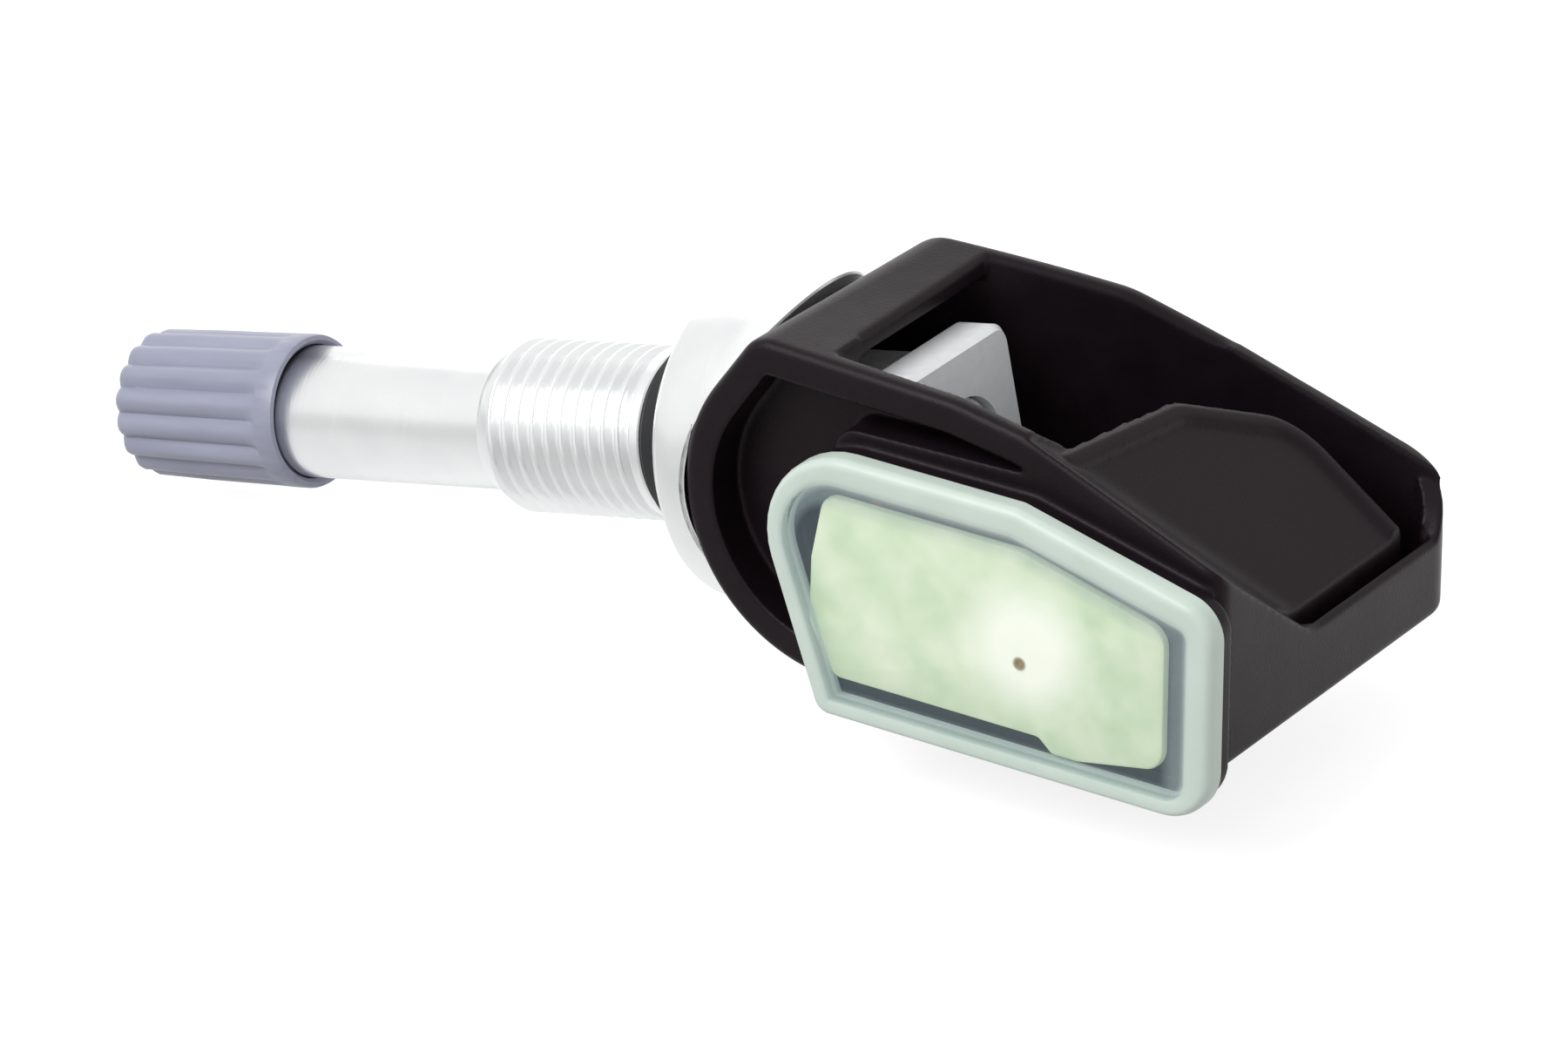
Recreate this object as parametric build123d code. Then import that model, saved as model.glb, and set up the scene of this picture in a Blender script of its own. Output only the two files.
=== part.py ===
from build123d import *
import math
import os

os.makedirs("parts", exist_ok=True)

# Tyre pressure sensor on a clamp-in valve, millimetres and degrees.
# X runs along the valve axis from the cap to the housing, Z is up, and the
# origin is on that axis where the rim thread ends at its seal.

# Valve axis, distances from the origin
stem_tip = -36.3
cap_room = 2.4
cap_reach = 9.6
cap_end = stem_tip - cap_room
cap_rim = stem_tip + cap_reach
thread_start = -12.0
seal_start = 0.1
collar_front = 3.3
collar_widest = 8.4
collar_back = 11.6
pivot_x = 16.2
pivot_z = -0.6

# Valve radii
cap_radius = 4.5
cap_wall = 0.57
cap_clearance = 0.08
cap_bore = cap_radius - cap_wall
tip_radius = cap_bore - cap_clearance
thread_radius = 5.0
thread_lead_in = 0.9
seal_radius = 5.3
seal_groove_radius = 4.3
collar_front_radius = 9.0
collar_radius = 9.7
collar_chamfer = 0.8
core_bore = 2.7
air_bore = 1.3
screw_bore = 2.5

# Depth of the bore that takes the valve core
core_bore_depth = 11

# Swivel between valve and housing
tilt = 11.7
swivel_down = 10
swivel_up = 6
shell_radius = 10.1
shell_wall = 1.8
swivel_gap = 0.06

# Housing, measured from the swivel axis: X along it, Y from near to far, Z up
near_face = -9.4
housing_end = 24.75
far_at_end = 18.1
far_slope = 0.37
end_bottom = -8.9
end_inside = 23.6
bar_ahead = 0.55
bar_front = -shell_radius / 2 - bar_ahead
bar_far_front = -3.3
bar_drop = 0.5
bar_back = -0.76
bar_rise = 0.45
bar_near = (bar_front, shell_radius - bar_drop)
bar_far = (bar_far_front, shell_radius + bar_rise)
bar_top = shell_radius
box_start = 12.3
bend_start = 7.5
bend_drop = 1.0
shoulder_rise = 1.8
end_drop = 3.1
far_bend_start = 6.5
far_bend_drop = 2.5
far_shoulder_drop = 5.5
far_end_drop = 5.3
box_corner = 4.0
channel = 2.3
channel_end = 3.6
label_slope = 0.867
label_drop = 3.6
label_top = shell_radius - label_drop
label_left = 13.4
label_left_far = 4.0
label_bend = 16.8
groove = 0.8
groove_wall = 0.45
groove_near = -1.9
groove_drop = 15.7
groove_floor = shell_radius - groove_drop
bead_width = 1.2
bead_height = 0.45
pocket_near = -5.7
pocket_floor = -7.4
recess_floor = -6.9
lip = 2.0
ridge = 1.2
ridge_step = 0.3
far_wall = 1.5
far_corner = 2.8
near_corner = 1.2
soft_edge = 0.6
bar_round = 2.0
bend_round = 7
valley_round = 3.0

# Cover on the near side
cover_face = -12.0
cover_back = -10.7
cover_rim = 1.9
cover_wall = 0.7
port_radius = 0.3
port_x = 13.3
port_z = -4.4
cover_corner = -5.2
cover_round = 5.3
cover_top = 5.1
cover_bend = 13.2
cover_bottom = -10.7
cover_start = 0.5
cover_end = 25.9
cover_end_top = 2.0

# Reach of a cut that runs clear of the piece
beyond = 40


def turned(*corners):
    """Solid turned about the valve axis from (x, radius) corners."""
    return revolve(Plane.XZ * make_face(Polyline(*corners, close=True)), Axis.X)


def slab(sketch, near, far):
    """Upright sketch in X and Z made solid between two Y positions."""
    start = Plane((0, far, 0), x_dir=(1, 0, 0), z_dir=(0, -1, 0))
    return extrude(start * sketch, far - near)


def rod_y(radius, near, far, x=0, z=0):
    """Round bar parallel to Y."""
    return slab(Pos(x, z) * Circle(radius), near, far)


def block(x_range, y_range, z_range):
    """Box between pairs of limits."""
    limits = (x_range, y_range, z_range)
    size = [high - low for low, high in limits]
    middle = [(high + low) / 2 for low, high in limits]
    return Pos(*middle) * Box(*size)


def far_side(x):
    """Y of the housing's flared far wall at a distance along the housing."""
    return far_at_end - far_slope * (housing_end - x)


def in_row(piece):
    """Set a piece modelled about the swivel axis at the sensor's tilt on the valve."""
    return Pos(pivot_x, 0, pivot_z) * Rot(0, tilt, 0) * piece


def save(piece, name):
    """Write one named piece."""
    piece.label = name
    export_step(piece, f"parts/{name}.step")


# Valve cap: closed sleeve that narrows to its end, ringed with lobes above a plain band
lobes = 16
lobe_radius = 1.2
cap_band = 1.3
cap_taper = 0.25
cap_end_round = 0.5
cap_rim_round = 0.25
cap_top = 1.4
cap_end_radius = cap_radius - cap_taper
band_start = cap_rim - cap_band
cap = turned(
    (cap_end, 0),
    (cap_end, cap_end_radius - cap_end_round),
    (cap_end + cap_end_round, cap_end_radius),
    (band_start, cap_radius),
    (cap_rim, cap_radius),
    (cap_rim, 0),
)
cap = fillet(cap.faces().sort_by(Axis.X)[-1].edges(), cap_rim_round)
lobed = Circle(cap_radius - lobe_radius)
for step in range(lobes):
    lobed += Rot(0, 0, 360 / lobes * step) * Pos(cap_radius - lobe_radius, 0) * Circle(lobe_radius)
grip = extrude(Plane.YZ.offset(cap_end) * lobed, band_start - cap_end)
grip += extrude(Plane.YZ.offset(band_start) * Circle(cap_radius), cap_band)
cap &= grip
cap -= turned(
    (cap_end + cap_top, 0),
    (cap_end + cap_top, cap_bore),
    (cap_rim - cap_rim_round, cap_bore),
    (cap_rim, cap_bore + cap_rim_round),
    (cap_rim, 0),
)
save(cap, "valve_cap")

# Cap seal: rubber disc in the closed end of the cap
cap_seal = turned(
    (cap_end + cap_top + 0.02, 0),
    (cap_end + cap_top + 0.02, cap_bore - 0.06),
    (stem_tip - 0.06, cap_bore - 0.06),
    (stem_tip - 0.06, 0),
)
save(cap_seal, "cap_seal")

# Front of the housing's bar: a flat that leaves the round shell as a tangent
def shell_leaves(corner):
    """Point of the shell where the flat to a corner of the bar leaves it."""
    turn = math.atan2(-corner[0], corner[1]) + math.acos(shell_radius / math.hypot(*corner))
    return (-shell_radius * math.sin(turn), shell_radius * math.cos(turn))


# Valve stem: tip, rim thread, seal groove and collar in one turned piece
core_bore_end = stem_tip + core_bore_depth
screw_bore_start = collar_front - 3
stem = turned(
    (stem_tip, 0),
    (stem_tip, tip_radius - 0.4),
    (stem_tip + 0.4, tip_radius),
    (thread_start, tip_radius),
    (thread_start, thread_radius - thread_lead_in * 0.6),
    (thread_start + thread_lead_in, thread_radius),
    (0, thread_radius),
    (0, seal_groove_radius),
    (collar_front, seal_groove_radius),
    (collar_front, collar_front_radius - collar_chamfer),
    (collar_front + collar_chamfer, collar_front_radius),
    (collar_widest - 0.6, collar_radius),
    (collar_back, collar_radius),
    (collar_back, 0),
)
stem -= turned(
    (stem_tip, 0),
    (stem_tip, core_bore),
    (core_bore_end, core_bore),
    (core_bore_end + 0.8, air_bore),
    (screw_bore_start, air_bore),
    (screw_bore_start + 0.7, screw_bore),
    (collar_back + 5, screw_bore),
    (collar_back + 5, 0),
)
stem -= rod_y(shell_radius + swivel_gap, -beyond, beyond, x=pivot_x, z=pivot_z)
bar_room = Polyline((0, 0), shell_leaves(bar_near), bar_near, bar_far, (0, bar_far[1]), close=True)
bar_room = make_face(bar_room)
bar_room = slab(scale(bar_room, 1 + swivel_gap / shell_radius), -beyond, beyond)
stem -= Pos(pivot_x, 0, pivot_z) * Rot(0, tilt - swivel_up, 0) * bar_room
save(stem, "valve_stem")

# Stem seal: rubber ring in the groove in front of the collar
seal = turned(
    (seal_start, seal_groove_radius),
    (seal_start, seal_radius - 0.35),
    (seal_start + 0.35, seal_radius),
    (collar_front - 0.5, seal_radius + 0.5),
    (collar_front, seal_radius + 0.5),
    (collar_front, seal_groove_radius),
)
save(seal, "stem_seal")

# Valve core: screwed body with its seal, sprung pin and cup
core_front = stem_tip + 0.6
core_shelf = core_front + 5.4
core_back = core_shelf + 1.1
pin_radius = 0.7
pin_head_radius = 1.4
pin_head = 0.6
pin_top = core_front + 0.15
core_cavity = 1.75
seal_ring = 0.9
core_body = turned(
    (core_front, core_cavity),
    (core_front, core_bore - 0.35),
    (core_front + 0.35, core_bore),
    (core_back - seal_ring - 1.2, core_bore),
    (core_back - seal_ring - 1.2, core_bore - 0.5),
    (core_back - 1.2, core_bore - 0.5),
    (core_back - 1.0, core_bore - 0.3),
    (core_back, core_bore - 0.7),
    (core_back, pin_radius + 0.07),
    (core_shelf, pin_radius + 0.07),
    (core_shelf, core_cavity),
)
save(core_body, "core_body")

core_seal = turned(
    (core_back - seal_ring - 1.2, core_bore - 0.5),
    (core_back - seal_ring - 1.2, core_bore),
    (core_back - 1.2, core_bore),
    (core_back - 1.2, core_bore - 0.5),
)
save(core_seal, "core_seal")

cup_radius = 1.8
cup_length = 1.6
core_pin = turned(
    (pin_top, 0),
    (pin_top, pin_head_radius - 0.2),
    (pin_top + 0.2, pin_head_radius),
    (pin_top + pin_head, pin_head_radius),
    (pin_top + pin_head, pin_radius),
    (core_back + cup_length + 0.5, pin_radius),
    (core_back + cup_length + 0.5, 0),
)
save(core_pin, "core_pin")

core_cup = turned(
    (core_back + 0.06, pin_radius),
    (core_back + 0.06, cup_radius - 0.2),
    (core_back + 0.26, cup_radius),
    (core_back + cup_length, cup_radius - 0.4),
    (core_back + cup_length, pin_radius),
)
save(core_cup, "core_cup")

spring_wire = 0.17
spring_mean = 1.15
spring_turns = 5
spring_start = pin_top + pin_head + spring_wire + 0.02
spring_length = core_shelf - spring_wire - 0.02 - spring_start
spring_path = Helix(spring_length / spring_turns, spring_length, spring_mean)
spring_section = Plane(spring_path @ 0, z_dir=spring_path % 0) * RegularPolygon(spring_wire, 6)
spring = sweep(spring_section, spring_path, is_frenet=True)
spring = Pos(spring_start, 0, 0) * Rot(0, 90, 0) * spring
save(spring, "core_spring")

# Clamp block: plate in the pocket with a round back that bears on the shell
plate_front = pivot_x + 0.6
plate_face = pivot_x + 3.2
plate_half_y = 5.3
plate_half_z = 6.0
saddle_half_y = 3.9
saddle_half_z = 4.2
head_radius = 3.0
head_height = 2.4
plate_width = (-plate_half_y, plate_half_y)
plate_height = (-plate_half_z, plate_half_z)
plate = block((plate_front, plate_face), plate_width, plate_height)
plate = fillet(plate.edges().filter_by(Axis.X), 1.3)
plate = chamfer(plate.faces().sort_by(Axis.X)[-1].edges(), 0.35)
saddle_width = (-saddle_half_y, saddle_half_y)
saddle_height = (-saddle_half_z, saddle_half_z)
saddle_radius = shell_radius - shell_wall - swivel_gap
saddle = block((pivot_x - shell_radius, plate_front), saddle_width, saddle_height)
saddle &= rod_y(saddle_radius, -beyond, beyond, x=pivot_x, z=pivot_z)
clamp_block = plate + saddle
clamp_block -= turned(
    (plate_face + 1, 0),
    (plate_face + 1, head_radius + 0.1),
    (plate_face - head_height - 0.3, head_radius + 0.1),
    (plate_face - head_height - 0.3, screw_bore + 0.1),
    (pivot_x - shell_radius, screw_bore + 0.1),
    (pivot_x - shell_radius, 0),
)
save(clamp_block, "clamp_block")

# Clamp screw: hollow, so that the tyre's air reaches the valve
head_back = plate_face - head_height - 0.3
screw_tip = screw_bore_start + 1.5
screw_air = 0.8
shank_radius = screw_bore - 0.02
socket_flats = 3.0
clamp_screw = turned(
    (head_back + head_height, 0),
    (head_back + head_height, head_radius - 0.3),
    (head_back + head_height - 0.3, head_radius),
    (head_back, head_radius),
    (head_back, shank_radius),
    (screw_tip + 0.5, shank_radius),
    (screw_tip, shank_radius - 0.5),
    (screw_tip, 0),
)
clamp_screw -= turned(
    (screw_tip, 0),
    (screw_tip, screw_air),
    (plate_face, screw_air),
    (plate_face, 0),
)
socket = RegularPolygon(socket_flats / 2, 6, major_radius=False)
clamp_screw -= extrude(Plane.YZ.offset(head_back + head_height - 1.6) * socket, 3)
save(clamp_screw, "clamp_screw")

# Housing: ruled block between its near and far outlines, trimmed to the plan


def side_outline(bar, bend, shoulder, end_top):
    """Outline in X and Z: round shell in front, three top slopes, end and floor."""
    front = ThreePointArc((0, -shell_radius), (-shell_radius, 0), shell_leaves(bar))
    rest = Polyline(
        shell_leaves(bar),
        bar,
        bend,
        shoulder,
        (housing_end, end_top),
        (housing_end, end_bottom),
        (0, -shell_radius),
    )
    outline = make_face([front, rest])
    for corner, radius in ((bar, bar_round), (bend, bend_round), (shoulder, bend_round)):
        outline = fillet(outline.vertices().sort_by_distance(corner)[0], radius)
    return outline


def upright(y):
    """Plane across the housing at one Y, seen from the near side."""
    return Plane((0, y, 0), x_dir=(1, 0, 0), z_dir=(0, -1, 0))


def above(x, y, z, slope_x, slope_y):
    """Everything over a plane through a point that falls with X and Y."""
    sheet = Rectangle(3 * beyond, 3 * beyond)
    return extrude(Plane((x, y, z), z_dir=(slope_x, slope_y, 1)) * sheet, 2 * beyond)


def tall(sketch):
    """Plan sketch made into a prism well over and under the housing."""
    return Pos(0, 0, -beyond) * extrude(sketch, 2 * beyond)


def column(*corners):
    """Plan outline made into a tall prism."""
    return tall(make_face(Polyline(*corners, close=True)))


near_bend = (bend_start, shell_radius - bend_drop)
near_shoulder = label_top + shoulder_rise
near_end = label_top - end_drop
near_outline = side_outline(bar_near, near_bend, (box_start, near_shoulder), near_end)
far_bend = (far_bend_start, shell_radius - far_bend_drop)
far_shoulder = (box_start, shell_radius - far_shoulder_drop)
far_outline = side_outline(bar_far, far_bend, far_shoulder, near_end - far_end_drop)
housing = loft([upright(far_at_end) * far_outline, upright(near_face) * near_outline], ruled=True)

plan_front = -shell_radius - 1
plan = Polyline(
    (plan_front, near_face),
    (housing_end, near_face),
    (housing_end, far_at_end),
    (plan_front, far_side(plan_front)),
    close=True,
)
plan = make_face(plan)
plan = fillet(plan.vertices().sort_by(Axis.Y)[-1], far_corner)
plan = fillet(plan.vertices().group_by(Axis.X)[-1].sort_by(Axis.Y)[0], near_corner)
housing &= tall(plan)
housing = fillet(housing.faces().sort_by(Axis.Y)[0].edges(), soft_edge)

# Top of the electronics box: label slope, and a second slope up to the cover
over_label = above(box_start, 0, label_top, label_slope, 0)
over_band = above(box_start, near_face, near_shoulder, 0.4, 0.75)
box_room = column(
    (box_start, -beyond),
    (beyond, -beyond),
    (beyond, far_side(beyond) - far_wall),
    (box_start, far_side(box_start) - far_wall),
)
housing -= over_label & over_band & box_room
valley = housing.edges().sort_by_distance((box_start + 6, near_face + 6, label_top - 6 * label_slope))[0]
housing = fillet(valley, valley_round)

# Pocket behind the round shell, with a channel on along the far wall
box_corners = [
    (box_start, near_face),
    (label_left, label_left_far),
    (label_bend, far_side(label_bend) - far_wall - channel),
]
past_end = housing_end + 2 * bead_width
box_plan = Polyline(
    (box_start, -beyond),
    *box_corners,
    (past_end, far_side(housing_end) - far_wall - channel_end),
    (past_end, -beyond),
    close=True,
)
box_plan = make_face(box_plan)
for corner in box_corners[1:]:
    box_plan = fillet(box_plan.vertices().sort_by_distance(corner)[0], box_corner)
pocket = column(
    (plan_front, pocket_near),
    (end_inside, pocket_near),
    (end_inside, far_side(end_inside) - far_wall),
    (plan_front, far_side(plan_front) - far_wall),
)
pocket -= tall(box_plan)
across = (-beyond, beyond)
pocket_side = rod_y(shell_radius - shell_wall, -beyond, beyond)
pocket_side += block((bar_back, end_inside), across, (0, beyond))
pocket_side += block((0, end_inside), across, (pocket_floor, 1))
housing -= pocket & pocket_side
rim_spot = bar_back + 4
bar_rim = housing.edges().sort_by_distance((bar_back, 0, bar_top))[0]
far_rim = housing.edges().sort_by_distance((rim_spot, far_side(rim_spot) - far_wall, bar_top - 1))[0]
housing = fillet([bar_rim, far_rim], 0.8 * soft_edge)

# Near wall thinned to a ridge that falls away into the pocket
ridge_inside = near_face + ridge
ridge_fall = above(box_start, ridge_inside, near_shoulder - ridge_step, 0.1, 0.65)
housing -= ridge_fall & block((bar_back, box_start), (ridge_inside, 0), (0, beyond))

# Bead round the left and far edges of the label, and the groove at its end
bead_wall = box_plan - offset(box_plan, -bead_width)
bead = tall(bead_wall) & block((0, end_inside), (near_face + 2.6, beyond), (-beyond, beyond))
bead -= above(box_start, 0, label_top + bead_height, label_slope, 0)
bead &= above(box_start, 0, label_top - 1.0, label_slope, 0)
bead = fillet(bead.faces().sort_by(Axis((0, 0, 0), (label_slope, 0, 1)))[-1].edges(), 0.35 * bead_width)
housing += bead
groove_end = housing_end - groove_wall
groove_far = far_side(groove_end) - far_wall - 2
end_groove = block((groove_end - groove, groove_end), (groove_near, groove_far), (groove_floor, 0))
housing -= fillet(end_groove.edges().filter_by(Axis.Z), 0.49 * groove)

# Slot in the shell for the clamp screw over the whole swivel
slot_half_y = screw_bore + 0.35
slot_margin = math.degrees(math.asin((screw_bore - pivot_z + 0.4) / (shell_radius - shell_wall)))
slot_limits = [tilt - swivel_up - slot_margin, tilt + swivel_down + slot_margin]
slot_rays = [math.radians(limit) for limit in slot_limits]
slot_reach = 1.6 * shell_radius
slot_ends = [(-slot_reach * math.cos(ray), -slot_reach * math.sin(ray)) for ray in slot_rays]
housing -= slab(make_face(Polyline((0, 0), *slot_ends, close=True)), -slot_half_y, slot_half_y)

# Recess inside the near lip and the groove that runs back above the electronics
inside_lip = offset(near_outline, -lip)
electronics = Polyline(
    (cover_corner + 3.6, 0.5),
    (cover_corner + 5.6, cover_top + 0.6),
    (cover_bend + 1.5, cover_top + 1.0),
    (beyond, cover_top + 1.0),
    (beyond, -beyond),
    (cover_start + 2.9, -beyond),
    (cover_start + 1.5, cover_bottom + 1.6),
    close=True,
)
electronics = make_face(electronics)
electronics = fillet(electronics.vertices().group_by(Axis.X)[1], 1.5)
housing -= slab(inside_lip - electronics, near_face - 1, recess_floor)

# Electronics bay behind the cover and the battery bore beyond it
cover_outline = Polyline(
    (cover_corner, cover_top),
    (cover_bend, cover_top),
    (cover_end, cover_end_top),
    (cover_end, cover_bottom),
    (cover_start, cover_bottom),
    close=True,
)
cover_outline = make_face(cover_outline)
cover_outline = fillet(cover_outline.vertices().sort_by_distance((cover_corner, cover_top))[0], cover_round)
cover_outline = fillet(cover_outline.vertices().sort_by_distance((cover_end, cover_end_top))[0], 2.4)
cover_outline = fillet(cover_outline.vertices().sort_by_distance((cover_end, cover_bottom))[0], 3.0)
cover_outline = fillet(cover_outline.vertices().sort_by_distance((cover_start, cover_bottom))[0], 1.2)
bay_outline = offset(cover_outline, -3.4)
bay_floor = -7.3
housing += slab(offset(cover_outline, -0.25), cover_back, near_face)
housing -= slab(offset(cover_outline, -cover_rim), cover_back - 1, near_face - 0.3)
housing -= slab(bay_outline, cover_back - 1, bay_floor)
cell_x = 16.9
cell_z = -4.2
cell_radius = 3.4
cell_near = -6.9
cell_far = 4.6
housing -= rod_y(cell_radius + 0.2, near_face - 1, cell_far + 0.4, x=cell_x, z=cell_z)
save(in_row(housing), "housing")

# Cover: translucent tray, open towards the housing, with a pressure port
board_outline = offset(cover_outline, -cover_rim - 0.5)
tray_floor = cover_face + cover_wall
cover = slab(cover_outline, cover_face, cover_back)
cover = fillet(cover.faces().sort_by(Axis.Y)[0].edges(), 0.6)
cover -= slab(offset(cover_outline, -cover_rim), tray_floor, cover_back + 1)
cover -= rod_y(port_radius, -beyond, beyond, x=port_x, z=port_z)
save(in_row(cover), "cover")

# Circuit board against the cover's floor, its parts facing the housing
board_back = tray_floor + 1.0
board = slab(board_outline, tray_floor, board_back)
board -= block((cell_x - 2.4, cell_x + 0.6), across, (-beyond, cover_bottom + 3.2))
board -= rod_y(port_radius + 0.2, -beyond, beyond, x=port_x, z=port_z)
save(in_row(board), "circuit_board")


def on_board(size_x, size_z, height, x, z):
    """Flat part standing on the back of the board."""
    along = (x - size_x / 2, x + size_x / 2)
    upward = (z - size_z / 2, z + size_z / 2)
    return block(along, (board_back, board_back + height), upward)


pressure_sensor = on_board(3.2, 3.2, 1.3, port_x, port_z)
pressure_sensor -= rod_y(port_radius + 0.2, board_back, board_back + 0.6, x=port_x, z=port_z)
save(in_row(pressure_sensor), "pressure_sensor")

chip_x = 9.2
chip_z = -0.8
chip = 4.0
transmitter = on_board(chip, chip, 0.9, chip_x, chip_z)
save(in_row(transmitter), "transmitter_chip")

crystal = on_board(2.5, 2.0, 0.7, chip_x, chip_z - chip - 0.2)
save(in_row(crystal), "crystal")

capacitor_pitch = 1.1
capacitor_row = (-capacitor_pitch, 0, capacitor_pitch)
side_x = chip_x + chip / 2 + 1.2
under_z = chip_z - chip - 2.1
capacitors = [on_board(1.0, 0.5, 0.5, side_x, chip_z + step) for step in capacitor_row]
capacitors += [on_board(0.5, 1.0, 0.5, chip_x + step, under_z) for step in capacitor_row]
capacitors = Compound(children=capacitors)
save(in_row(capacitors), "capacitors")

# Low-frequency coil: ferrite bobbin and its winding
coil_x = 5.0
coil_z = -2.2
coil_length = 6.4
coil_flange = 1.0
coil = on_board(2.4, coil_length, 2.2, coil_x, coil_z)
window = coil_length - 2 * coil_flange
coil -= on_board(2.4, window, 2.2, coil_x, coil_z) - on_board(1.3, window, 1.6, coil_x, coil_z)
save(in_row(coil), "coil_core")
winding = on_board(2.2, window - 0.1, 2.0, coil_x, coil_z)
winding -= on_board(1.3, window, 1.6, coil_x, coil_z)
save(in_row(winding), "coil_winding")

# Battery with its two tabs
battery = rod_y(cell_radius, cell_near, cell_far, x=cell_x, z=cell_z)
battery = chamfer(battery.edges(), 0.4)
save(in_row(battery), "battery")
tab = 0.3
tab_width = (cell_x - 0.9, cell_x + 0.9)
tab_leg = (board_back, cell_near)
tab_foot = (cell_near - tab, cell_near)
tab_plus = block(tab_width, tab_leg, (cell_z + 1.7 - tab, cell_z + 1.7))
tab_plus += block(tab_width, tab_foot, (cell_z + 0.2, cell_z + 1.7))
save(in_row(tab_plus), "battery_tab_plus")
tab_minus = block(tab_width, tab_leg, (cell_z - 1.7, cell_z - 1.7 + tab))
tab_minus += block(tab_width, tab_foot, (cell_z - 1.7, cell_z - 0.2))
save(in_row(tab_minus), "battery_tab_minus")

# Antenna: flat wire loop standing along the board's top edge
antenna_ends = (3.0, 15.0)
antenna_top = 2.6
antenna_width = (board_back, board_back + 0.6)
antenna = block(antenna_ends, antenna_width, (antenna_top - 0.25, antenna_top))
antenna_leg = (antenna_ends[0], antenna_ends[0] + 0.6)
antenna += block(antenna_leg, antenna_width, (antenna_top - 1.2, antenna_top))
save(in_row(antenna), "antenna")
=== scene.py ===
# Tyre pressure sensor on its clamp-in valve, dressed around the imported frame.
# Metres, in the frame of the solids: X along the valve from cap to housing, Z up.
import math

import bmesh
import bpy
from mathutils import Matrix, Vector


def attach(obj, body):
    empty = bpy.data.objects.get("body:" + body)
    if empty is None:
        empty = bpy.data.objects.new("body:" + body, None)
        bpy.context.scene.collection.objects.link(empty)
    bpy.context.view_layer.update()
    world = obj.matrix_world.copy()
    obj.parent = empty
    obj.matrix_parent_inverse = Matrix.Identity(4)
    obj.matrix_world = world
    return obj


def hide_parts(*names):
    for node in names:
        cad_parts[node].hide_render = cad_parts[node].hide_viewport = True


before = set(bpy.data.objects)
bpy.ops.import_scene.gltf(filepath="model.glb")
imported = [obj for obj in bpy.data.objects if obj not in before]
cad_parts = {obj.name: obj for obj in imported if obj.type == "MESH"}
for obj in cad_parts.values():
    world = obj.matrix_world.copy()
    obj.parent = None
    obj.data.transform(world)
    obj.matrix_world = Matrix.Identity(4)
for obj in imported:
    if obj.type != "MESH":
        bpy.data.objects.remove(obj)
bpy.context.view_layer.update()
scene = bpy.context.scene
scene.view_settings.view_transform = "Standard"
mm = 0.001

# View: a long lens looks down on the cover's side. The picture stands upright on the
# housing, which hangs at its own tilt on the valve, so the view is set in that tilt.
housing_tilt = math.radians(11.7)
swivel_place = Vector((16.2, 0, -0.6)) * mm
housing_frame = Matrix.Translation(swivel_place) @ Matrix.Rotation(housing_tilt, 4, "Y")
view_turn = math.radians(33.52)
view_rise = math.radians(25.81)
view_roll = math.radians(0.16)
view_distance = 548.9 * mm
view_aside = 7.97 * mm
view_below = 3.56 * mm
view_lens = 226.0

level = Vector((math.cos(view_turn), math.sin(view_turn), 0))
ahead = Vector((math.sin(view_turn), -math.cos(view_turn), 0))
toward = ahead * math.cos(view_rise) + Vector((0, 0, math.sin(view_rise)))
facing = Matrix((level, toward.cross(level), toward)).transposed()
facing = facing @ Matrix.Rotation(view_roll, 3, "Z")
stand = facing @ Vector((-view_aside, -view_below, view_distance))
camera = bpy.data.objects.new("camera", bpy.data.cameras.new("camera"))
camera.data.lens = view_lens
camera.data.sensor_width = 36
camera.data.sensor_fit = "HORIZONTAL"
camera.data.clip_start = 0.02
camera.matrix_world = housing_frame @ Matrix.Translation(stand) @ facing.to_4x4()
scene.collection.objects.link(camera)
scene.camera = camera


# Light: a white room seen by the lens and in the metal, with less of it as fill, and
# two soft lamps over the bench.
class Wire:
    """A socket of a node tree. Arithmetic on it adds Math nodes."""

    def __init__(self, tree, socket=None):
        self.tree = tree
        self.socket = socket

    def add(self, kind, settings, sockets, output=0):
        """Any node: its type, its settings, and a value or a wire for each socket."""
        node = self.tree.nodes.new(kind)
        for name, value in settings.items():
            setattr(node, name, value)
        for name, value in sockets.items():
            if isinstance(value, Wire):
                self.tree.links.new(value.socket, node.inputs[name])
            else:
                node.inputs[name].default_value = value
        return Wire(self.tree, node.outputs[output] if len(node.outputs) else None)

    def into(self, node, name):
        self.tree.links.new(self.socket, node.inputs[name])

    def maths(self, operation, first, second=0.0, clamp=False):
        settings = {"operation": operation, "use_clamp": clamp}
        return self.add("ShaderNodeMath", settings, {0: first, 1: second})

    def clamped(self):
        return self.maths("ADD", self, 0.0, True)

    def mix(self, low, high):
        """Colour between two others, this wire saying how far."""
        sockets = {0: self, 6: low, 7: high}
        return self.add("ShaderNodeMix", {"data_type": "RGBA"}, sockets, 2)

    def __add__(self, other):
        return self.maths("ADD", self, other)

    def __radd__(self, other):
        return self.maths("ADD", other, self)

    def __sub__(self, other):
        return self.maths("SUBTRACT", self, other)

    def __rsub__(self, other):
        return self.maths("SUBTRACT", other, self)

    def __mul__(self, other):
        return self.maths("MULTIPLY", self, other)

    def __rmul__(self, other):
        return self.maths("MULTIPLY", other, self)

    def __truediv__(self, other):
        return self.maths("DIVIDE", self, other)


def seen_directly(canvas, by_lens=1.0, in_metal=1.0):
    """A share for rays from the lens, another for rays off metal, and 0 for light."""
    lens = canvas.add("ShaderNodeLightPath", {}, {}, "Is Camera Ray")
    metal = canvas.add("ShaderNodeLightPath", {}, {}, "Is Glossy Ray")
    return by_lens * lens + in_metal * metal


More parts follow.
